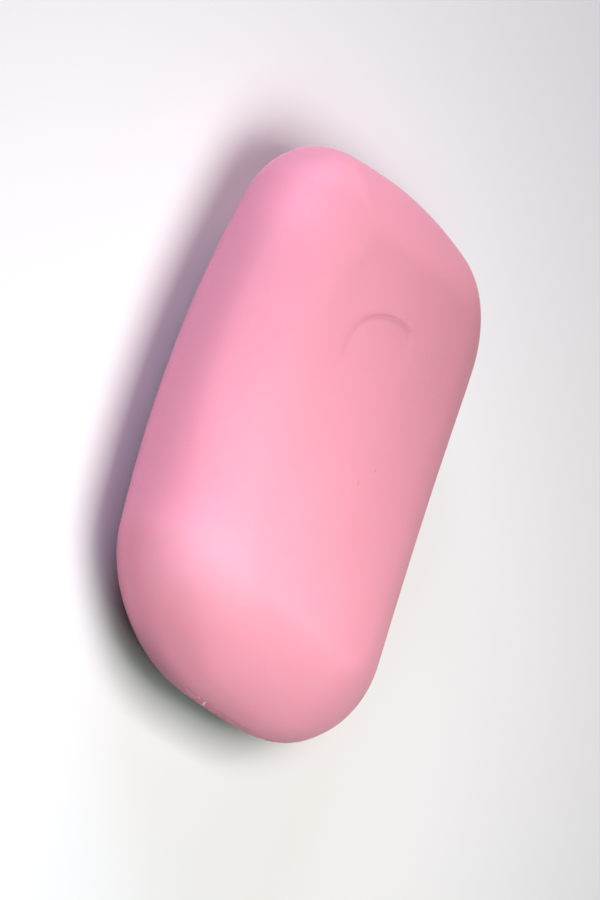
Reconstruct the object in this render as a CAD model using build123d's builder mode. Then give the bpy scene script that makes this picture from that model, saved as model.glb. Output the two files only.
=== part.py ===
from build123d import *
from math import cos, radians, sin
import os

# Bar of toilet soap: one pressed tablet, all sizes in millimetres.
# Origin at the middle of the flat underside, +X along the bar, +Z up.
# -Y is the side that bows most and carries the higher edge of the leaning top.

# Plan outline, taken at the parting line where the two press dies met
bar_length = 95.0
bar_width = 60.0
high_side_bow = 6.0         # how far the -Y side bulges past its own corners
low_side_bow = 1.4          # the same for the +Y side
end_bow = 4.0               # the same for each end
far_high_corner = 13.5      # corner radii, named by the end and side that they join
near_high_corner = 23.0
near_low_corner = 23.0
far_low_corner = 19.0
corner_room = 0.97          # share of an end's length that its two corners may take up

# Heights above the underside
parting_height = 12.0
face_height = 23.6          # middle of the top face

# Upper wall: how far it has drawn in at three heights above the parting line
swell_rise = 4.0            # the wall is still almost upright here
swell_draw = 1.0
shoulder_rise = 9.0
shoulder_side_draw = 4.0
shoulder_end_draw = 4.8
crest_rise = 16.0           # clear above the finished face
crest_side_draw = 10.5
crest_end_draw = 15.0

# Lower wall, straight down to the underside
base_draw = 3.0
base_edge_radius = 12.0

# Top face: hollow along the bar, crowned across it, and leaning a little
face_hollow = 3.7           # drop of the middle below the two ends
face_crown = 5.0            # drop of each long edge below the middle line
face_lean = 7.0             # degrees, higher at the -Y side
face_edge_radius = 8.0
ring_overhang = 20.0        # how far the ring that cuts the face runs past each side

# Bare stamp panel: a shallow sunk stadium in the top face
panel_length = 49.0
panel_width = 26.4
panel_depth = 0.35
panel_shift = 2.4           # centre of the panel towards the +X end
panel_offset = 2.0          # and towards the +Y side
panel_edge_radius = 0.1

# Flash: a thin bead at the parting line. The dies closed slightly out of line,
# so it stands proud at the +X end and towards the +Y side, and fades out round the rest.
flash_shift_x = 0.5
flash_shift_y = 0.2
flash_rise = 0.45           # from the parting line to each edge of the bead
flash_draw = 0.45           # how far each flank slopes in over that height

half_length = bar_length / 2
half_width = bar_width / 2
parting_plane = Plane.XY.offset(parting_height)
flash_plane = parting_plane.shift_origin((flash_shift_x, flash_shift_y, parting_height))


def plan_section(plane, end_draw, side_draw):
    """Plan outline on a plane: two bowed sides, two bowed ends and rounded corners, all drawn in"""
    end_x = half_length - end_draw
    side_y = half_width - side_draw
    corner_x = end_x - end_bow
    low_y = side_y - low_side_bow
    high_y = side_y - high_side_bow
    with BuildSketch(plane) as section:
        with BuildLine():
            ThreePointArc((-corner_x, -high_y), (0, -side_y), (corner_x, -high_y))
            ThreePointArc((corner_x, -high_y), (end_x, 0), (corner_x, low_y))
            ThreePointArc((corner_x, low_y), (0, side_y), (-corner_x, low_y))
            ThreePointArc((-corner_x, low_y), (-end_x, 0), (-corner_x, -high_y))
        make_face()
        # The two corners of an end share its length, so on a narrow bar both give way alike
        room = corner_room * (low_y + high_y)
        for x, high_corner, low_corner in (
            (-corner_x, far_high_corner, far_low_corner),
            (corner_x, near_high_corner, near_low_corner),
        ):
            high_radius = high_corner - side_draw
            low_radius = low_corner - side_draw
            share = min(1, room / (high_radius + low_radius))
            fillet(section.vertices().sort_by_distance((x, -high_y))[0], high_radius * share)
            fillet(section.vertices().sort_by_distance((x, low_y))[0], low_radius * share)
    return section.sketch


# The top face is the rim of a large ring: its hollow radius runs along the bar, its crown across it.
hollow_radius = (half_length**2 + face_hollow**2) / (2 * face_hollow)
crown_radius = (half_width**2 + face_crown**2) / (2 * face_crown)
ring_half_width = half_width + ring_overhang
rim_rise = crown_radius - (crown_radius**2 - ring_half_width**2) ** 0.5
lean = radians(face_lean)
face_plane = Plane(
    origin=(0, 0, face_height),
    x_dir=(0, cos(lean), -sin(lean)),
    z_dir=(1, 0, 0),
)
ring_axis = Axis(face_plane.from_local_coords((0, hollow_radius)), face_plane.x_dir)


def ring_section(sink):
    """Half section of the ring on the far side of its axis, with its rim sunk by a depth"""
    rim_middle = 2 * hollow_radius + sink
    rim_end = rim_middle + rim_rise
    with BuildSketch(face_plane) as section:
        with BuildLine():
            ThreePointArc((-ring_half_width, rim_end), (0, rim_middle), (ring_half_width, rim_end))
            Line((ring_half_width, rim_end), (ring_half_width, hollow_radius))
            Line((ring_half_width, hollow_radius), (-ring_half_width, hollow_radius))
            Line((-ring_half_width, hollow_radius), (-ring_half_width, rim_end))
        make_face()
    return section.sketch


# Stamp panel cutter: an upright stadium, kept only above the sunk face
with BuildPart() as panel_cutter:
    with BuildSketch(parting_plane):
        with Locations((panel_shift, panel_offset)):
            SlotOverall(panel_length, panel_width)
    extrude(amount=face_height)
    add(ring_section(panel_depth))
    revolve(axis=ring_axis, mode=Mode.INTERSECT)

with BuildPart() as soap_bar:
    # Upper half: drafted, bulging wall, cut off by the top face and rounded where they meet
    add(plan_section(parting_plane, 0, 0))
    add(plan_section(parting_plane.offset(swell_rise), swell_draw, swell_draw))
    add(plan_section(parting_plane.offset(shoulder_rise), shoulder_end_draw, shoulder_side_draw))
    add(plan_section(parting_plane.offset(crest_rise), crest_end_draw, crest_side_draw))
    loft()
    add(ring_section(0))
    revolve(axis=ring_axis, mode=Mode.SUBTRACT)
    fillet(soap_bar.faces().sort_by(Axis.Z)[-1].edges(), face_edge_radius)

    # Lower half: straight drafted wall down to the flat underside, with a full round edge
    add(plan_section(parting_plane, 0, 0))
    add(plan_section(Plane.XY, base_draw, base_draw))
    loft()
    fillet(soap_bar.faces().sort_by(Axis.Z)[0].edges(), base_edge_radius)

    # Flash bead: the outline moved out of line, with a sloping flank above and below
    for rise in (flash_rise, -flash_rise):
        add(plan_section(flash_plane, 0, 0))
        add(plan_section(flash_plane.offset(rise), flash_draw, flash_draw))
        loft()

    # Bare stamp panel, with both edges of its low wall eased
    add(panel_cutter.part, mode=Mode.SUBTRACT)
    panel_edges = soap_bar.edges(Select.LAST).filter_by(lambda edge: edge.length > 2 * panel_depth)
    fillet(panel_edges, panel_edge_radius)

soap_bar.part.label = "soap_bar"
os.makedirs("parts", exist_ok=True)
export_step(soap_bar.part, "parts/soap_bar.step")
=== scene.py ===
"""Bar of toilet soap: the pressed tablet's true surface, its soap finish with painted light and shade in
its colour, and a plain studio.

The bar lies along X on its flat underside. Its near end is +X and its far end is -X. The top face
leans, so that -Y is the high side and +Y the low one.
"""
import math

import bpy
from bpy.props import FloatProperty, FloatVectorProperty, IntProperty, PointerProperty
from mathutils import Matrix, Vector


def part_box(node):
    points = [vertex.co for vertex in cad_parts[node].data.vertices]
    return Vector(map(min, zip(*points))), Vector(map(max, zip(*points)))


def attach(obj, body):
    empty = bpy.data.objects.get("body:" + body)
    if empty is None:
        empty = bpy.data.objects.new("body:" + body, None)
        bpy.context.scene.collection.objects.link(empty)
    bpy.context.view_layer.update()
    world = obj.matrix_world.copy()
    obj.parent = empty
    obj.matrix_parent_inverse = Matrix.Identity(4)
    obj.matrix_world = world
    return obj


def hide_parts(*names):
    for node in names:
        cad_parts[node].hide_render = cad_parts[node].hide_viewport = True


bl_info = {
    "name": "Soap Bar",
    "version": (1, 0, 0),
    "blender": (4, 5, 0),
    "location": "3D View > Sidebar > Soap",
    "description": "Presses a bar of toilet soap around its packed model and sets it in a plain studio",
    "category": "Object",
}

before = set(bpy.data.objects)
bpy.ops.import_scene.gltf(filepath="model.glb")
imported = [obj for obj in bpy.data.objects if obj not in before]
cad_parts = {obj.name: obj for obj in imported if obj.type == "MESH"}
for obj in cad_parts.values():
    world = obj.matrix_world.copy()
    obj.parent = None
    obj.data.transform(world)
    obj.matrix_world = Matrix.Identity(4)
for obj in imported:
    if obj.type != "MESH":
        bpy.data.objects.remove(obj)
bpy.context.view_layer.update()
BAR_LOW, BAR_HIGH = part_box("soap_bar")
MM = 0.001

# The flash bead makes the packed box longer and wider than the pressing by this much, at +X and +Y
BEAD_PROUD_X = 0.5 * MM
BEAD_PROUD_Y = 0.2 * MM
END_WEAR = 0.25 * MM            # rubbed off each end
BAR_LENGTH = BAR_HIGH.x - BAR_LOW.x - BEAD_PROUD_X - 2.0 * END_WEAR
BAR_WIDTH = BAR_HIGH.y - BAR_LOW.y - BEAD_PROUD_Y


# ---------------------------------------------------------------- settings

def length_prop(name, default, description):
    """A length that a user may change, in metres"""
    return FloatProperty(name=name, default=default, description=description, subtype="DISTANCE",
                         unit="LENGTH", precision=5)


def angle_prop(name, degrees, description):
    """An angle that a user may change, given here in degrees"""
    return FloatProperty(name=name, default=math.radians(degrees), description=description,
                         subtype="ANGLE", unit="ROTATION")


def share_prop(name, default, description):
    """A plain number that a user may change"""
    return FloatProperty(name=name, default=default, description=description, precision=4)


def channel_prop(name, default, description):
    """Three plain numbers that a user may change, for red, green and blue"""
    return FloatVectorProperty(name=name, default=default, description=description, size=3)


def colour_prop(name, default, description):
    """A linear colour that a user may change"""
    return FloatVectorProperty(name=name, default=default, description=description, subtype="COLOR",
                               size=3, min=0.0, max=1.0)


def setting_names(group):
    """Names of a property group's own settings, in their order"""
    return [key for key in group.bl_rna.properties.keys() if key not in {"rna_type", "name"}]


class SoapForm(bpy.types.PropertyGroup):
    """Sizes of the pressed bar"""
    bar_length: length_prop("Length", BAR_LENGTH, "Length at the parting line")
    bar_width: length_prop("Width", BAR_WIDTH, "Width at the parting line")
    parting_height: length_prop("Parting Height", 12.0 * MM, "Parting line above the underside")
    face_height: length_prop("Face Height", 23.44 * MM, "Middle of the top face above the underside")
    high_side_bow: length_prop("High Side Bow", 6.0 * MM, "How far the -Y side bulges past its corners")
    low_side_bow: length_prop("Low Side Bow", 1.4 * MM, "How far the +Y side bulges past its corners")
    near_end_bow: length_prop("Near End Bow", 4.0 * MM, "How far the +X end bulges past its corners")
    far_end_bow: length_prop("Far End Bow", 4.0 * MM, "How far the -X end bulges past its corners")
    corner_radius: length_prop("Corner Radius", 15.4 * MM, "Mean plan radius of the four corners")
    corner_near: length_prop("Corner Near", 3.7 * MM, "How much fuller they are at +X, and tighter at -X")
    corner_low: length_prop("Corner Low", 1.7 * MM, "How much fuller they are at +Y, and tighter at -Y")
    corner_skew: length_prop("Corner Skew", 1.8 * MM, "How much tighter the high far and low near ones are")
    upper_draft: share_prop("Upper Draft", 0.11, "Slope of the upper wall at the parting line")
    upper_bulge: length_prop("Upper Bulge", 24.0 * MM, "Height over which the upper wall turns in")
    lower_draft: share_prop("Lower Draft", 0.165, "Slope of the lower wall at the parting line")
    lower_bulge: length_prop("Lower Bulge", 100.0 * MM, "Height over which the lower wall turns in")
    face_hollow: length_prop("Face Hollow", 3.66 * MM, "Drop of the middle of the face below its ends")
    face_crown: length_prop("Face Crown", 4.97 * MM, "Drop of the long edges below the middle line")
    face_lean: length_prop("Face Lean", 3.78 * MM, "Rise of the -Y edge, and drop of the +Y edge")
    face_pitch: length_prop("Face Pitch", 0.43 * MM, "Rise of the face at +X, and drop at -X")
    face_twist: length_prop("Face Twist", 0.40 * MM, "Rise of its high far and low near corners")
    side_edge_radius: length_prop("Side Edge Radius", 6.3 * MM, "Rounding of the long upper edges")
    end_edge_radius: length_prop("End Edge Radius", 12.2 * MM, "Rounding of the upper edges at the ends")
    edge_near: length_prop("Edge Near", 1.7 * MM, "How much the end edges gain on the long ones at +X")
    edge_low: length_prop("Edge Low", 1.2 * MM, "How much fuller the upper edges are at +Y, tighter at -Y")
    end_edge_low: length_prop("End Edge Low", 4.0 * MM, "How much fuller still the end edges are at +Y")
    end_edge_skew: length_prop("End Edge Skew", 3.3 * MM, "How much tighter they are high far and low near")
    base_edge_radius: length_prop("Base Edge Radius", 11.0 * MM, "Rounding of the lower edge")


class SoapRelief(bpy.types.PropertyGroup):
    """Fine relief of the bar's skin"""
    panel_length: length_prop("Panel Length", 49.0 * MM, "Length of the bare stamp panel")
    panel_width: length_prop("Panel Width", 26.4 * MM, "Width of the bare stamp panel")
    panel_shift: length_prop("Panel Shift", 2.4 * MM, "Centre of the panel towards +X")
    panel_offset: length_prop("Panel Offset", 2.0 * MM, "Centre of the panel towards +Y")
    panel_depth: length_prop("Panel Depth", 0.35 * MM, "How far the panel is sunk")
    crisp_edge: length_prop("Crisp Edge", 0.34 * MM, "Half width of the panel's wall where least worn")
    worn_edge: length_prop("Worn Edge", 6.0 * MM, "Half width of the panel's wall where most worn")
    bead_rise: length_prop("Bead Rise", 0.32 * MM, "Half height of the flash bead")
    bead_stand: length_prop("Bead Stand", 0.42 * MM, "How far the flash bead stands proud")
    wear_depth: length_prop("Wear Depth", 0.16 * MM, "Depth of the soft waves worn into the skin")
    wear_size: length_prop("Wear Size", 17.0 * MM, "Distance between those waves")
    streak_depth: length_prop("Streak Depth", 0.10 * MM, "Depth of the slanting smears by the high side")
    bump_stand: length_prop("Bump Stand", 0.12 * MM, "How far a small bump stands up beside the panel")
    wear_seed: IntProperty(name="Wear Seed", default=7, description="Which pattern of waves is used")


class SoapFinish(bpy.types.PropertyGroup):
    """Colours and gloss of the soap, with painted light and shade in the colours"""
    body_colour: colour_prop("Body", (0.81, 0.337, 0.428), "Colour of the middle of the top face")
    # Painted light: the +X end paler and the -X end deeper, standing in for light that falls off along the
    # bar
    near_painted_falloff: share_prop("Near Fade", 0.13, "How much paler the rubbed +X end is, and deeper the -X end")
    # Painted light: the -Y side paler and the +Y side deeper, as light falls across the bar
    high_side_painted_light: share_prop("High Fade", 0.07, "How much paler the -Y side is, and deeper the +Y side")
    # Painted shade: the walls deeper than the top, where they get less light
    wall_painted_shade: share_prop("Wall Step", 0.08, "How much deeper the walls are than the rubbed top")
    # Painted shade: upright walls deeper still, with a cool mauve tint standing in for the light on them
    wall_painted_tint: channel_prop("Wall Depth", (0.03, 0.15, 0.05), "How much deeper still an upright wall is")
    # Painted shade: the lower half deeper, where little light reaches it from below
    base_painted_shade: share_prop("Base Depth", 0.42, "How much deeper the lower half is, where no hand rubs it")
    flake_fade: channel_prop("Flake Fade", (0.40, 0.85, 0.75), "How much paler the flash's dry flakes are")
    lip_depth: share_prop("Lip Depth", 0.25, "How much deeper the torn lip of the flash is")
    # Painted shade about the torn flash, low on the near end
    flash_painted_shade: share_prop("Flash Depth", 0.75, "How much deeper the soap is about the torn flash")
    # Painted light: the high corners paler, where they catch the light
    corner_painted_light: channel_prop("Corner Fade", (0.30, 0.25, 0.24), "How much paler the high corners are")
    # Painted shade: two small pits darker than the face around them
    pit_painted_shade: share_prop("Speck Depth", 0.22, "How much darker the two small specks are")
    cloud_depth: share_prop("Cloud Depth", 0.02, "How much the clouds in the soap differ from it")
    roughness: share_prop("Roughness", 0.52, "Roughness of the clean skin")
    glow_depth: length_prop("Glow Depth", 2.0 * MM, "How far light spreads inside the soap")


class SoapStudio(bpy.types.PropertyGroup):
    """Camera and floor"""
    azimuth: angle_prop("Azimuth", 32.0, "Way round the bar to the camera, which looks along +Y from 0")
    elevation: angle_prop("Elevation", 45.3, "Camera's height above the horizon")
    roll: angle_prop("Roll", 85.3, "Turn of the camera about its own line of sight")
    distance: length_prop("Distance", 0.8552, "Camera's distance from the bar")
    lens: FloatProperty(name="Lens", default=213.5, subtype="DISTANCE_CAMERA", unit="CAMERA",
                        description="Focal length on a 36 mm sensor")
    aim_right: length_prop("Aim Right", 0.86 * MM, "How far right of the middle of the view the bar sits")
    aim_up: length_prop("Aim Up", 0.69 * MM, "How far above the middle of the view the bar sits")
    floor_colour: colour_prop("Floor", (0.90, 0.90, 0.90), "Colour of the floor")


# ---------------------------------------------------------------- node arithmetic

def feed(tree, slot, value):
    """Gives a node's input a field, another node's output or a plain value"""
    source = value.socket if isinstance(value, Field) else value
    if isinstance(source, bpy.types.NodeSocket):
        tree.links.new(source, slot)
    else:
        slot.default_value = source


def math_field(tree, operation, *values):
    """Outcome of a math node on fields and plain numbers"""
    node = tree.nodes.new("ShaderNodeMath")
    node.operation = operation
    for slot, value in zip(node.inputs, values):
        feed(tree, slot, value)
    return Field(tree, node.outputs[0])


class Field:
    """A number inside a node tree, so that a rule of the form reads as plain arithmetic"""

    def __init__(self, tree, socket):
        self.tree = tree
        self.socket = socket

    def apply(self, operation, *others):
        return math_field(self.tree, operation, self, *others)

    def __add__(self, other):
        return self.apply("ADD", other)

    def __sub__(self, other):
        return self.apply("SUBTRACT", other)

    def __mul__(self, other):
        return self.apply("MULTIPLY", other)

    def __truediv__(self, other):
        return self.apply("DIVIDE", other)

    def __rtruediv__(self, number):
        return math_field(self.tree, "DIVIDE", number, self)

    def __neg__(self):
        return self.apply("MULTIPLY", -1.0)

    def __abs__(self):
        return self.apply("ABSOLUTE")

    def power(self, exponent):
        return self.apply("POWER", exponent)

    def least(self, other):
        return self.apply("MINIMUM", other)

    def most(self, other):
        return self.apply("MAXIMUM", other)

    def above(self, other):
        return self.apply("GREATER_THAN", other)

    def square(self):
        return self.apply("MULTIPLY", self)

    def root(self):
        return self.apply("SQRT")


def one_minus(field):
    """1 - field"""
    return -field + 1.0


def pick(mask, when_one, when_zero):
    """when_one where the mask is 1, when_zero where it is 0"""
    return mask * when_one + one_minus(mask) * when_zero


def fading(squares):
    """1 where a squared distance is 0, fading to 0 as it grows"""
    return (-squares).apply("EXPONENT")


def spot(x, y, centre, reach):
    """1 at a place on the top face, fading to 0 around it"""
    along = (x - centre[0]) / reach[0]
    across = (y - centre[1]) / reach[1]
    return fading(along.square() + across.square())


def round_meet(first, second, radius):
    """Clearance from a body bounded by two faces that meet in an edge of that radius"""
    outer = ((first + radius).most(0.0).square() + (second + radius).most(0.0).square()).root()
    return first.most(second).least(-radius) + outer


def ease(field, low, high):
    """0 below low, 1 above high, and a smooth step between"""
    node = field.tree.nodes.new("ShaderNodeMapRange")
    node.interpolation_type = "SMOOTHERSTEP"
    for name, value in (("Value", field), ("From Min", low), ("From Max", high)):
        feed(field.tree, node.inputs[name], value)
    return Field(field.tree, node.outputs["Result"])


def stretch(field, span):
    """1 along a stretch that fades in between its first two values and out between its last two"""
    start, full_from, full_to, end = span
    return ease(field, start, full_from) * one_minus(ease(field, full_to, end))


def split_vector(tree, socket):
    """The three parts of a vector as fields"""
    node = tree.nodes.new("ShaderNodeSeparateXYZ")
    tree.links.new(socket, node.inputs[0])
    return [Field(tree, output) for output in node.outputs]


def join_vector(tree, *parts):
    """A vector made of three fields or numbers"""
    node = tree.nodes.new("ShaderNodeCombineXYZ")
    for slot, value in zip(node.inputs, parts):
        feed(tree, slot, value)
    return node.outputs[0]


def vector_math(tree, operation, *values, scale=None):
    """Vector that an operation on vectors gives"""
    node = tree.nodes.new("ShaderNodeVectorMath")
    node.operation = operation
    slots = [slot for slot in node.inputs if slot.type == "VECTOR"]
    for slot, value in zip(slots, values):
        feed(tree, slot, value)
    if scale is not None:
        feed(tree, node.inputs["Scale"], scale)
    return node.outputs["Vector"]


def noise(tree, place, size, detail=2.0, roughness=0.5):
    """Smooth noise from -1 to 1 whose features are about that size"""
    node = tree.nodes.new("ShaderNodeTexNoise")
    node.inputs["Detail"].default_value = detail
    node.inputs["Roughness"].default_value = roughness
    feed(tree, node.inputs["Vector"], place)
    feed(tree, node.inputs["Scale"], 1.0 / size)
    return Field(tree, node.outputs[0]) * 2.0 - 1.0


# ---------------------------------------------------------------- form of the bar

LEAST_EDGE = 2.5 * MM           # no upper edge is tighter than this
LEAST_CORNER = 6.0 * MM         # least plan radius of a corner at the parting line
LEAST_CORNER_GROWTH = 1.3       # how fast that least radius grows towards the underside
END_BLEND = 6.0                 # how closely the end edge's rounding keeps to the ends
ALL_EDGES_SHARE = 0.6           # share of "Edge Near" that every upper edge loses at +X, and gains at -X


def skin_clearance(tree, place, size):
    """How far a place is outside the pressed bar's skin, from the bar's sizes"""
    x, y, z = split_vector(tree, place)
    half_length = size["bar_length"] * 0.5
    half_width = size["bar_width"] * 0.5
    along = x / half_length
    across = y / half_width

    # Plan outline: bowed sides and ends that meet in four corners, each with its own radius
    side_bow = pick(y.above(0.0), size["low_side_bow"], size["high_side_bow"])
    end_bow = pick(x.above(0.0), size["near_end_bow"], size["far_end_bow"])
    end_gap = abs(x) - half_length + end_bow * across.square()
    side_gap = abs(y) - half_width + side_bow * along.square()
    corner = (size["corner_radius"] + size["corner_near"] * along + size["corner_low"] * across
              - size["corner_skew"] * along * across)
    rise = z - size["parting_height"]
    corner = corner.most((-rise).most(0.0) * LEAST_CORNER_GROWTH + LEAST_CORNER)
    plan = round_meet(end_gap, side_gap, corner)

    # Walls draw in from the parting line, up and down
    upper = rise.above(0.0)
    height = abs(rise)
    draft = pick(upper, size["upper_draft"], size["lower_draft"])
    bulge = pick(upper, size["upper_bulge"], size["lower_bulge"])
    wall = plan + height * draft + height.square() / bulge

    # Top face: hollow along the bar, crowned across it, and leaning
    face = (size["face_height"] + size["face_hollow"] * along.square()
            - size["face_crown"] * across.square() - size["face_lean"] * across
            + size["face_pitch"] * along + size["face_twist"] * along * across)

    # Upper edges, tight along the sides and full at the ends, and the lower edge, alike all round
    end_share = abs(along).least(1.0).power(END_BLEND)
    side_edge = (size["side_edge_radius"] + size["edge_low"] * across
                 - size["edge_near"] * ALL_EDGES_SHARE * along)
    end_edge = (size["end_edge_radius"] + size["edge_near"] * along + size["end_edge_low"] * across
                - size["end_edge_skew"] * along * across)
    upper_edge = side_edge + (end_edge - size["side_edge_radius"]) * end_share
    upper_edge = upper_edge.most(LEAST_EDGE)
    top_corner = round_meet(wall, z - face, upper_edge)
    base_corner = round_meet(wall, -z, size["base_edge_radius"])
    return top_corner.most(base_corner)


# ---------------------------------------------------------------- fine relief

# A span is a stretch along one axis: a feature fades in between its first two values and fades out
# between its last two. A pair of values is where a feature grows from nothing to full.

# Stamp panel: its wall is crisp only round the far end, and worn away elsewhere
PANEL_WANDER = 0.15 * MM                # how far the wall strays from its true line
PANEL_WANDER_SIZE = 5.0 * MM            # distance between those wanderings
CRISP_END = (8.0 * MM, 13.0 * MM)       # the wall grows crisp over this stretch towards -X
CRISP_SPAN = (-10.8 * MM, -7.6 * MM, 2.5 * MM, 6.5 * MM)    # and is crisp along this span of Y
RUBBED_SIDE = (-8.5 * MM, -5.0 * MM)    # below this stretch of Y even the crisp wall is rubbed
RUBBED_WIDTH = 0.8 * MM                 # and its half width is this much more
WORN_SINK = 0.6                         # share of the depth that is left where the wall is worn
FOOT_SINK = 0.3                         # share by which the foot of the crisp wall is deeper
FOOT_PLACE = 0.6                        # that foot's place and reach, in half widths of the wall
FOOT_REACH = 0.9


def panel_distance(x, y, size):
    """Distance outwards from the stadium edge of the bare stamp panel"""
    radius = size["panel_width"] * 0.5
    past = (abs(x - size["panel_shift"]) + radius - size["panel_length"] * 0.5).most(0.0)
    return (past.square() + (y - size["panel_offset"]).square()).root() - radius


def panel_share(tree, place, x, y, size):
    """Share of the stamp panel's depth by which a place on the face is sunk"""
    wander = noise(tree, place, PANEL_WANDER_SIZE, detail=1.0) * PANEL_WANDER
    from_edge = panel_distance(x, y, size) + wander
    crisp = ease(-x, *CRISP_END) * stretch(y, CRISP_SPAN)
    rubbed = one_minus(ease(y, *RUBBED_SIDE)) * RUBBED_WIDTH
    edge = pick(crisp, size["crisp_edge"] + rubbed, size["worn_edge"])
    sunk = one_minus(ease(from_edge, -edge, edge))
    foot = fading(((from_edge + edge * FOOT_PLACE) / (edge * FOOT_REACH)).square())
    return sunk * (crisp * (1.0 - WORN_SINK) + WORN_SINK) + foot * crisp * FOOT_SINK


# Flash bead: torn and ragged at the near end, and only a trace elsewhere
FRAY_SIZE = 1.7 * MM                    # distance between the tears
FRAY_HEIGHT = 0.5 * MM                  # how far the bead strays up and down
FRAY_CONTRAST = 2.0                     # how sharply the torn lip breaks off
FRAY_MIDDLE = 0.7                       # share of the stand that the torn lip has between the tears
RAGGED_START = (-7.5 * MM, -6.2 * MM)   # the ragged lip starts sharply along Y
RAGGED_END = (-2.0 * MM, 14.0 * MM)     # and fades slowly
RAGGED_FADE = 0.8                       # by this share
RAGGED_TURN = (0.2, 0.5)                # the normal's X where the near end begins
TRACE_SHARE = 0.06                      # share of the stand that it has elsewhere round the near end
TRACE_LOW_SIDE = 0.4                    # weight of the +Y side in that
PLAIN_RISE = 0.6                        # share of "Bead Rise" that it has where it isn't ragged at all


def bead_share(tree, place, y, z, out_x, out_y, size):
    """Share of the flash bead's stand at a place, from the normal's X and Y"""
    fray = noise(tree, place, FRAY_SIZE, detail=4.0, roughness=0.8)
    ragged = ease(y, *RAGGED_START) * one_minus(ease(y, *RAGGED_END) * RAGGED_FADE)
    ragged = ragged * ease(out_x, *RAGGED_TURN)
    trace = (out_x + out_y * TRACE_LOW_SIDE).most(0.0).least(1.0) * TRACE_SHARE
    half_height = size["bead_rise"] * (ragged + PLAIN_RISE)
    height = (z - size["parting_height"] + fray * FRAY_HEIGHT) / half_height
    torn = (fray * FRAY_CONTRAST + FRAY_MIDDLE).least(1.0).most(0.0)
    return one_minus(abs(height)).most(0.0) * (ragged * torn + trace)


FACE_TURN = (0.55, 0.85)                # the normal's Z where the walls turn into the top face
SMEAR_SLANT = 0.8                       # slope of the smears across the bar
SMEAR_LONG = 0.35                       # how close they are along that slope
SMEAR_CLOSE = 1.6                       # and across it
SMEAR_SIZE = 9.0 * MM                   # distance between them before that
SMEAR_SIDE = (4.0 * MM, 18.0 * MM)      # they grow over this stretch towards the high side
WAVE_FLOOR = 3.0 * MM                   # the underside and its edge stay free of waves
BUMP_CENTRE = (-26.0 * MM, -12.9 * MM)  # small bump beside the panel
BUMP_REACH = (1.2 * MM, 1.6 * MM)


def skin_relief(tree, place, normal, size):
    """Height of the fine relief above the smooth skin"""
    x, y, z = split_vector(tree, place)
    out_x, out_y, up = split_vector(tree, normal)
    on_face = ease(up, *FACE_TURN) * z.above(size["parting_height"])
    panel = panel_share(tree, place, x, y, size) * on_face

    # Waves worn in by hands, and slanting smears beside the high side
    seed = vector_math(tree, "ADD", place, join_vector(tree, size["wear_seed"], 0.0, 0.0))
    waves = noise(tree, seed, size["wear_size"], detail=1.5) * 0.5
    slant = join_vector(tree, (x + y * SMEAR_SLANT) * SMEAR_LONG,
                        (y - x * SMEAR_SLANT) * SMEAR_CLOSE, z)
    smears = noise(tree, slant, SMEAR_SIZE, detail=2.0) * ease(-y, *SMEAR_SIDE) * on_face

    bead = bead_share(tree, place, y, z, out_x, out_y, size)
    bump = spot(x, y, BUMP_CENTRE, BUMP_REACH) * on_face
    return (bead * size["bead_stand"] - panel * size["panel_depth"]
            + (waves * size["wear_depth"] + bump * size["bump_stand"]) * z.above(WAVE_FLOOR)
            + smears * size["streak_depth"])


# ---------------------------------------------------------------- growing the mesh

GRID = (220, 136, 51)           # points along, across and up the pressing
SETTLE_STEPS = 26               # steps in which the points come to rest on the skin
START_SPARE = 1.5 * MM          # how far outside the bar the points start
CORE_SHARE = (0.58, 0.46)       # shares of the bar's length and width that the core they move to has
ROW_PACKING = 1.6               # packs the rows of points towards the parting line


def add_inputs(tree, group):
    """Gives a tree one named input for each setting of a group"""
    for key in setting_names(group):
        prop = group.bl_rna.properties[key]
        kind = "NodeSocketInt" if prop.type == "INT" else "NodeSocketFloat"
        tree.interface.new_socket(prop.name, in_out="INPUT", socket_type=kind)


def pass_through(tree, kind, geometry, **inputs):
    """Geometry as a new node passes it on, with that node's other inputs given by name"""
    node = tree.nodes.new(kind)
    feed(tree, node.inputs["Geometry"], geometry)
    for name, value in inputs.items():
        feed(tree, node.inputs[name], value)
    return node.outputs["Geometry"]


def start_points(tree, size):
    """Box of points round the bar, the places where they start, and their ways inwards"""
    box = tree.nodes.new("GeometryNodeMeshCube")
    box.inputs["Size"].default_value = (2.0, 2.0, 2.0)
    for name, count in zip(("Vertices X", "Vertices Y", "Vertices Z"), GRID):
        box.inputs[name].default_value = count
    along, across, up = split_vector(tree, tree.nodes.new("GeometryNodeInputPosition").outputs[0])
    packed = abs(up).power(ROW_PACKING) * (up.above(0.0) * 2.0 - 1.0)
    half_length = size["bar_length"] * 0.5
    half_width = size["bar_width"] * 0.5
    middle = size["parting_height"]
    reach = (size["face_height"] - middle) + size["face_hollow"] + size["face_lean"]
    start = join_vector(tree, along * (half_length + START_SPARE), across * (half_width + START_SPARE),
                        packed * reach + middle)
    core = join_vector(tree, along * half_length * CORE_SHARE[0],
                       across * half_width * CORE_SHARE[1], middle)
    inward = vector_math(tree, "NORMALIZE", vector_math(tree, "SUBTRACT", core, start))
    return box.outputs["Mesh"], start, inward


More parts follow.
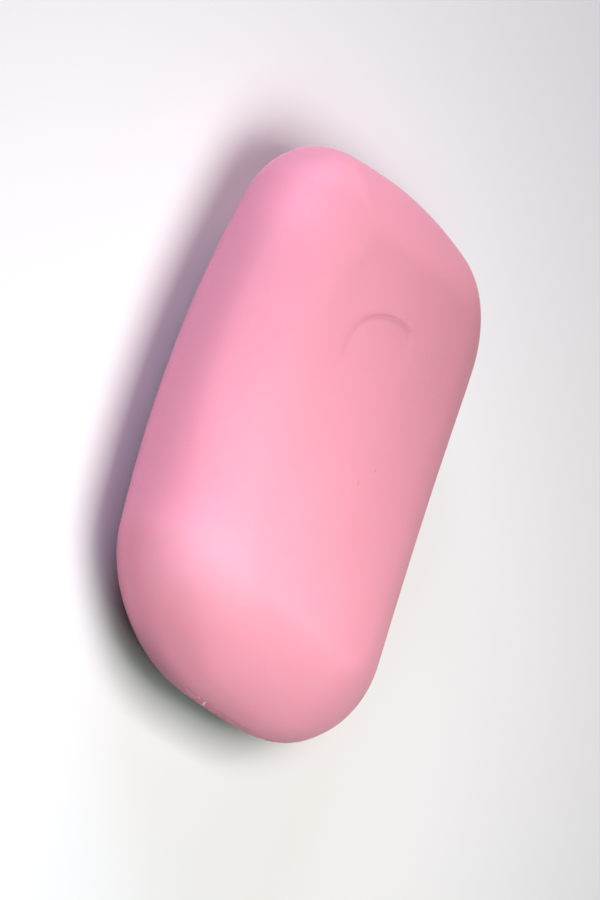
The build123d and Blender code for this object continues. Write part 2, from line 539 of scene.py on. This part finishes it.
def build_form_tree(groups, material):
    """Geometry Nodes tree that presses a box of points onto the bar's skin and adds its relief"""
    tree = bpy.data.node_groups.new("Soap Bar Form", "GeometryNodeTree")
    for group in groups:
        add_inputs(tree, group)
    tree.interface.new_socket("Geometry", in_out="OUTPUT", socket_type="NodeSocketGeometry")
    nodes = tree.nodes
    keys = [key for group in groups for key in setting_names(group)]
    size = {key: Field(tree, socket) for key, socket in zip(keys, nodes.new("NodeGroupInput").outputs)}

    # Each point keeps its way inwards, which has to be stored before the points move to their start
    box, start, inward = start_points(tree, size)
    keep_ray = nodes.new("GeometryNodeStoreNamedAttribute")
    keep_ray.data_type = "FLOAT_VECTOR"
    keep_ray.domain = "POINT"
    keep_ray.inputs["Name"].default_value = "inward"
    feed(tree, keep_ray.inputs["Geometry"], box)
    feed(tree, keep_ray.inputs["Value"], inward)
    shape = pass_through(tree, "GeometryNodeSetPosition", keep_ray.outputs["Geometry"], Position=start)

    # Points step inwards by their clearance until they rest on the skin
    steps_in = nodes.new("GeometryNodeRepeatInput")
    steps_out = nodes.new("GeometryNodeRepeatOutput")
    steps_in.pair_with_output(steps_out)
    steps_in.inputs["Iterations"].default_value = SETTLE_STEPS
    feed(tree, steps_in.inputs["Geometry"], shape)
    ray = nodes.new("GeometryNodeInputNamedAttribute")
    ray.data_type = "FLOAT_VECTOR"
    ray.inputs["Name"].default_value = "inward"
    clearance = skin_clearance(tree, nodes.new("GeometryNodeInputPosition").outputs[0], size)
    step = vector_math(tree, "SCALE", ray.outputs["Attribute"], scale=clearance)
    shape = pass_through(tree, "GeometryNodeSetPosition", steps_in.outputs["Geometry"], Offset=step)
    feed(tree, steps_out.inputs["Geometry"], shape)

    # Relief stands along the smooth skin's normal, and never leaves the packed bar's own box
    place = nodes.new("GeometryNodeInputPosition").outputs[0]
    normal = nodes.new("GeometryNodeInputNormal").outputs[0]
    relief = skin_relief(tree, place, normal, size)
    lifted = vector_math(tree, "ADD", place, vector_math(tree, "SCALE", normal, scale=relief))
    held = vector_math(tree, "MINIMUM", lifted, tuple(BAR_HIGH))
    held = vector_math(tree, "MAXIMUM", held, tuple(BAR_LOW))
    shape = pass_through(tree, "GeometryNodeSetPosition", steps_out.outputs["Geometry"], Position=held)

    shape = pass_through(tree, "GeometryNodeSetShadeSmooth", shape)
    shape = pass_through(tree, "GeometryNodeRemoveAttribute", shape, Name="inward")
    shape = pass_through(tree, "GeometryNodeRealizeInstances", shape)
    shape = pass_through(tree, "GeometryNodeSetMaterial", shape, Material=material)
    feed(tree, nodes.new("NodeGroupOutput").inputs["Geometry"], shape)
    return tree


def grown_piece(tree, groups, name):
    """Object whose plain mesh a tree has grown from the settings of its groups"""
    seed_mesh = bpy.data.meshes.new(name + "_seed")
    piece = bpy.data.objects.new(name, seed_mesh)
    bpy.context.scene.collection.objects.link(piece)
    modifier = piece.modifiers.new("Form", "NODES")
    modifier.node_group = tree
    inputs = [item for item in tree.interface.items_tree if item.in_out == "INPUT"]
    values = [getattr(group, key) for group in groups for key in setting_names(group)]
    for item, value in zip(inputs, values):
        modifier[item.identifier] = value
    piece.update_tag()
    depsgraph = bpy.context.evaluated_depsgraph_get()
    mesh = bpy.data.meshes.new_from_object(piece.evaluated_get(depsgraph))
    mesh.name = name
    piece.modifiers.remove(modifier)
    piece.data = mesh
    bpy.data.meshes.remove(seed_mesh)
    return piece


# ---------------------------------------------------------------- soap finish, with painted light and shade

TOP_FLOOR = 15.0 * MM                   # marks of the top face stay above this height
WALL_TURN = (0.3, 0.65)                 # the normal's Z where the painted shade of the walls gives way to the top
WALL_SHADE_FROM = 0.9                   # the normal's Z at which the painted wall tint ("Wall Depth") changes nothing
BASE_RISE = (3.0 * MM, 11.0 * MM)       # the painted shade of the lower half ends over this height
CLOUD_SIZE = 22.0 * MM

# Painted shade: a deeper patch about the torn flash, low on the near end
FLASH_PATCH_END = (30.0 * MM, 40.0 * MM)    # it grows over this stretch towards +X
FLASH_PATCH_SPAN = (-24.0 * MM, -8.0 * MM, 8.0 * MM, 22.0 * MM)
FLASH_PATCH_RISE = (8.0 * MM, 15.5 * MM)    # it ends over this height
CLOUD_DRIFT = 1.5 * MM                      # which the clouds move up and down by this much

# Corners of the high side, painted paler: painted light where they catch the light
NEAR_CORNER_CENTRE = (34.5 * MM, -24.0 * MM)
NEAR_CORNER_REACH = (9.0 * MM, 7.0 * MM)
FAR_CORNER_CENTRE = (-32.0 * MM, -25.0 * MM)
FAR_CORNER_REACH = (8.0 * MM, 7.0 * MM)
FAR_CORNER_SHARE = 0.8
CORNER_RISE = (7.0 * MM, 20.0 * MM)     # the painted light on them grows over this height

# Two small pits, one round and one long, darkened with painted shade
ROUND_SPECK_CENTRE = (1.4 * MM, 7.0 * MM)
ROUND_SPECK_REACH = (0.22 * MM, 0.22 * MM)
LONG_SPECK_CENTRE = (5.4 * MM, 3.9 * MM)
LONG_SPECK_REACH = (0.5 * MM, 0.13 * MM)

# Torn lip of the flash, and the dry flakes on it
LIP_HEIGHT = 12.1 * MM
LIP_HALF_WIDTH = (0.3 * MM, 0.9 * MM)   # its colour ends this far above and below that height
LIP_END = (40.0 * MM, 44.0 * MM)        # it grows over this stretch towards +X
LIP_SPAN = (-8.0 * MM, -6.0 * MM, 2.0 * MM, 12.0 * MM)
FLAKE_SIZE = 1.3 * MM
FLAKE_LEVEL = (0.06, 0.16)              # noise above this is a flake
FLAKE_SPAN = (-5.5 * MM, -4.5 * MM, -1.5 * MM, 2.0 * MM)

# Fine crease where the panel's wall is still crisp
CREASE_HALF_WIDTH = 0.22 * MM
CREASE_WANDER = 0.15 * MM               # how far it strays from the panel's true edge
CREASE_END = (12.0 * MM, 16.0 * MM)     # it grows over this stretch towards -X
CREASE_SPAN = (-7.5 * MM, -5.0 * MM, 1.5 * MM, 5.0 * MM)
CREASE_STRENGTH = 0.8
CREASE_DEPTH = 0.2 * MM

# Satin skin: a fine grain, and broad patches that are a little duller or glossier
GRAIN_SIZE = 0.9 * MM
GRAIN_STRENGTH = 0.15
GRAIN_DEPTH = 0.1 * MM
GRAIN_ROUGHNESS = 0.03
PATCH_SIZE = 9.0 * MM
PATCH_ROUGHNESS = 0.05


def soap_colour(tree, place, x, y, z, finish):
    """Body colour with painted light and shade: paler towards +X, the -Y side and the high corners, deeper
    on the walls, the lower half and about the torn flash; with clouds, two pits in painted shade, a deeper
    torn lip and paler flakes
    """
    _, _, up = split_vector(tree, tree.nodes.new("ShaderNodeNewGeometry").outputs["Normal"])
    clouds = noise(tree, place, CLOUD_SIZE, detail=3.0)
    # Painted light: paler towards +X and the -Y side, deeper towards -X and the +Y side, as light falls
    # across the bar
    fade = (x / (0.5 * BAR_LENGTH)) * finish.near_painted_falloff - (y / (0.5 * BAR_WIDTH)) * finish.high_side_painted_light
    fade = fade + clouds * finish.cloud_depth
    # Painted shade: the lower half deeper, where little light reaches it from below
    fade = fade - one_minus(ease(z, *BASE_RISE)) * finish.base_painted_shade
    # Painted shade: the walls deeper than the top, where they get less light
    fade = fade - one_minus(ease(up, *WALL_TURN)) * finish.wall_painted_shade

    # Painted shade about the torn flash, low on the near end
    flash_shade_mask = ease(x, *FLASH_PATCH_END) * stretch(y, FLASH_PATCH_SPAN)
    below_face = one_minus(ease(z + clouds * CLOUD_DRIFT, *FLASH_PATCH_RISE))
    fade = fade - below_face * flash_shade_mask * finish.flash_painted_shade

    # Painted light: the high corners paler, where they catch the light
    corners = spot(x, y, NEAR_CORNER_CENTRE, NEAR_CORNER_REACH)
    corners = corners + spot(x, y, FAR_CORNER_CENTRE, FAR_CORNER_REACH) * FAR_CORNER_SHARE
    corners = corners * ease(z, *CORNER_RISE)

    # Painted shade: two small pits darker than the face around them
    pit_shade = spot(x, y, ROUND_SPECK_CENTRE, ROUND_SPECK_REACH)
    pit_shade = pit_shade + spot(x, y, LONG_SPECK_CENTRE, LONG_SPECK_REACH)
    fade = fade - pit_shade * z.above(TOP_FLOOR) * finish.pit_painted_shade

    lip = one_minus(ease(abs(z - LIP_HEIGHT), *LIP_HALF_WIDTH))
    lip = lip * ease(x, *LIP_END) * stretch(y, LIP_SPAN)
    flecks = ease(noise(tree, place, FLAKE_SIZE, detail=3.0), *FLAKE_LEVEL)
    flakes = lip * flecks * stretch(y, FLAKE_SPAN)
    fade = fade - lip * finish.lip_depth

    tints = []
    for channel, colour in enumerate(finish.body_colour):
        # Painted shade: upright walls deeper still, most in green, a cool mauve tint standing in for light
        shift = (up - WALL_SHADE_FROM) * finish.wall_painted_tint[channel] + flakes * finish.flake_fade[channel]
        shift = shift + corners * finish.corner_painted_light[channel] + fade
        tints.append(shift.apply("EXPONENT") * colour)
    return join_vector(tree, *tints)


def add_bump(tree, height, strength, distance, base=None):
    """Bump node that raises a height above a base normal"""
    bump = tree.nodes.new("ShaderNodeBump")
    bump.inputs["Strength"].default_value = strength
    bump.inputs["Distance"].default_value = distance
    feed(tree, bump.inputs["Height"], height)
    if base is not None:
        feed(tree, bump.inputs["Normal"], base.outputs["Normal"])
    return bump


def soap_material(finish, relief):
    """Pressed soap: clouded pink body with painted light and shade, soft glow inside, satin skin with a
    fine grain
    """
    material = bpy.data.materials.new("Pressed_Soap")
    material.use_nodes = True
    tree = material.node_tree
    skin = tree.nodes["Principled BSDF"]
    place = tree.nodes.new("ShaderNodeTexCoord").outputs["Object"]
    x, y, z = split_vector(tree, place)
    feed(tree, skin.inputs["Base Color"], soap_colour(tree, place, x, y, z, finish))

    grain = noise(tree, place, GRAIN_SIZE, detail=4.0)
    patches = noise(tree, place, PATCH_SIZE, detail=2.0)
    rough = patches * PATCH_ROUGHNESS + grain * GRAIN_ROUGHNESS + finish.roughness
    feed(tree, skin.inputs["Roughness"], rough)

    size = {key: getattr(relief, key) for key in setting_names(relief)}
    from_edge = panel_distance(x, y, size) + patches * CREASE_WANDER
    kept = ease(-x, *CREASE_END) * stretch(y, CREASE_SPAN) * z.above(TOP_FLOOR)
    line = fading((from_edge / CREASE_HALF_WIDTH).square()) * kept
    crease = add_bump(tree, line, CREASE_STRENGTH, CREASE_DEPTH)
    crease.invert = True
    texture = add_bump(tree, grain, GRAIN_STRENGTH, GRAIN_DEPTH, base=crease)
    feed(tree, skin.inputs["Normal"], texture.outputs["Normal"])

    skin.inputs["IOR"].default_value = 1.46
    skin.inputs["Specular IOR Level"].default_value = 0.3
    skin.inputs["Subsurface Weight"].default_value = 0.5
    skin.inputs["Subsurface Radius"].default_value = (1.0, 0.42, 0.45)
    skin.inputs["Subsurface Scale"].default_value = finish.glow_depth
    return material


class SoapBarPress(bpy.types.Operator):
    """Press the bar of soap onto its packed model"""
    bl_idname = "soap.press_bar"
    bl_label = "Press Soap Bar"

    def execute(self, context):
        scene = context.scene
        groups = (scene.soap_form, scene.soap_relief)
        material = soap_material(scene.soap_finish, scene.soap_relief)
        tree = build_form_tree(groups, material)
        bar = grown_piece(tree, groups, "soap_tablet")
        bpy.data.node_groups.remove(tree)
        if len(bar.data.polygons) == 0:
            raise RuntimeError("the form tree grew no faces")
        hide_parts("soap_bar")
        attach(bar, "root")
        return {"FINISHED"}


# ---------------------------------------------------------------- stage

FLOOR_REACH = 3.0               # metres from the bar to each side of the floor
SENSOR_WIDTH = 36.0             # millimetres
NEAR_END_AIM = (45.0 * MM, -20.0 * MM, 12.0 * MM)   # high side's corner of the near end
MIDDLE_AIM = (0.0, 0.0, 12.0 * MM)                  # middle of the bar


def direction(azimuth, elevation):
    """Direction from the bar to a viewer, who looks along +Y from azimuth 0"""
    level = math.cos(elevation)
    return Vector((math.sin(azimuth) * level, -math.cos(azimuth) * level, math.sin(elevation)))


def soft_light(name, aim, azimuth, elevation, distance, side, power, colour):
    """Square soft light that faces a point from a direction in degrees"""
    back = direction(math.radians(azimuth), math.radians(elevation))
    light = bpy.data.lights.new(name, "AREA")
    light.shape = "SQUARE"
    light.size = side
    light.energy = power
    light.color = colour
    lamp = bpy.data.objects.new(name, light)
    lamp.location = Vector(aim) + back * distance
    lamp.rotation_euler = (-back).to_track_quat("-Z", "Y").to_euler()
    bpy.context.scene.collection.objects.link(lamp)


class SoapStage(bpy.types.Operator):
    """Lay the floor, hang the lights and place the camera"""
    bl_idname = "soap.set_stage"
    bl_label = "Set Stage"

    def execute(self, context):
        scene = context.scene
        self.lay_floor(scene)
        self.place_camera(scene)
        self.hang_lights(scene)
        scene.view_settings.view_transform = "Standard"
        return {"FINISHED"}

    def lay_floor(self, scene):
        """Plain pale floor under the bar"""
        mesh = bpy.data.meshes.new("Floor")
        turns = ((-1, -1), (1, -1), (1, 1), (-1, 1))
        corners = [(x * FLOOR_REACH, y * FLOOR_REACH, 0.0) for x, y in turns]
        mesh.from_pydata(corners, [], [(0, 1, 2, 3)])
        floor = bpy.data.objects.new("Floor", mesh)
        scene.collection.objects.link(floor)
        material = bpy.data.materials.new("Pale_Floor")
        material.use_nodes = True
        paint = material.node_tree.nodes["Principled BSDF"]
        paint.inputs["Base Color"].default_value = (*scene.soap_studio.floor_colour, 1.0)
        paint.inputs["Roughness"].default_value = 0.8
        mesh.materials.append(material)

    def place_camera(self, scene):
        """Camera that looks at the middle of the bar, rolled about its own line of sight"""
        studio = scene.soap_studio
        turn, roll = studio.azimuth, studio.roll
        back = direction(turn, studio.elevation)
        level = Vector((math.cos(turn), math.sin(turn), 0.0))
        right = level * math.cos(roll) + back.cross(level) * math.sin(roll)
        up = back.cross(right)
        middle = Vector((0.0, 0.0, scene.soap_form.parting_height))
        aim = middle - right * studio.aim_right - up * studio.aim_up
        camera = bpy.data.cameras.new("Camera")
        camera.sensor_width = SENSOR_WIDTH
        camera.lens = studio.lens
        camera.clip_start = 0.01
        viewer = bpy.data.objects.new("Camera", camera)
        viewer.matrix_world = Matrix((right, up, back)).transposed().to_4x4()
        viewer.location = aim + back * studio.distance
        scene.collection.objects.link(viewer)
        scene.camera = viewer

    def hang_lights(self, scene):
        """Four soft lights, and no other light in the room"""
        world = bpy.data.worlds.new("Studio_Air")
        world.use_nodes = True
        world.node_tree.nodes["Background"].inputs["Strength"].default_value = 0.0
        scene.world = world
        soft_light("Top_Box", NEAR_END_AIM, azimuth=0.0, elevation=90.0, distance=0.2, side=0.14,
                   power=0.407, colour=(1.0, 0.915, 0.945))
        soft_light("End_Box", NEAR_END_AIM, azimuth=90.0, elevation=65.0, distance=0.28, side=0.16,
                   power=0.249, colour=(0.72, 1.0, 0.82))
        soft_light("Far_Box", MIDDLE_AIM, azimuth=300.0, elevation=15.0, distance=0.8, side=0.5,
                   power=6.14, colour=(0.673, 0.736, 1.0))
        soft_light("Side_Box", MIDDLE_AIM, azimuth=270.0, elevation=15.0, distance=0.8, side=0.5,
                   power=2.156, colour=(1.0, 0.626, 0.283))


class SoapPanel(bpy.types.Panel):
    """Soap bar steps and settings"""
    bl_idname = "VIEW3D_PT_soap_bar"
    bl_label = "Soap Bar"
    bl_space_type = "VIEW_3D"
    bl_region_type = "UI"
    bl_category = "Soap"

    def draw(self, context):
        layout = self.layout
        layout.operator(SoapBarPress.bl_idname)
        layout.operator(SoapStage.bl_idname)
        for name, cls in SETTINGS.items():
            group = getattr(context.scene, name)
            box = layout.box()
            box.label(text=cls.__doc__)
            for key in setting_names(group):
                box.prop(group, key)


CLASSES = (SoapForm, SoapRelief, SoapFinish, SoapStudio, SoapBarPress, SoapStage, SoapPanel)
SETTINGS = {
    "soap_form": SoapForm,
    "soap_relief": SoapRelief,
    "soap_finish": SoapFinish,
    "soap_studio": SoapStudio,
}


def register():
    for cls in CLASSES:
        bpy.utils.register_class(cls)
    for name, cls in SETTINGS.items():
        setattr(bpy.types.Scene, name, PointerProperty(type=cls))


def unregister():
    for name in SETTINGS:
        delattr(bpy.types.Scene, name)
    for cls in reversed(CLASSES):
        bpy.utils.unregister_class(cls)


def main():
    register()
    bpy.ops.soap.press_bar()
    bpy.ops.soap.set_stage()


if __name__ == "__main__":
    main()
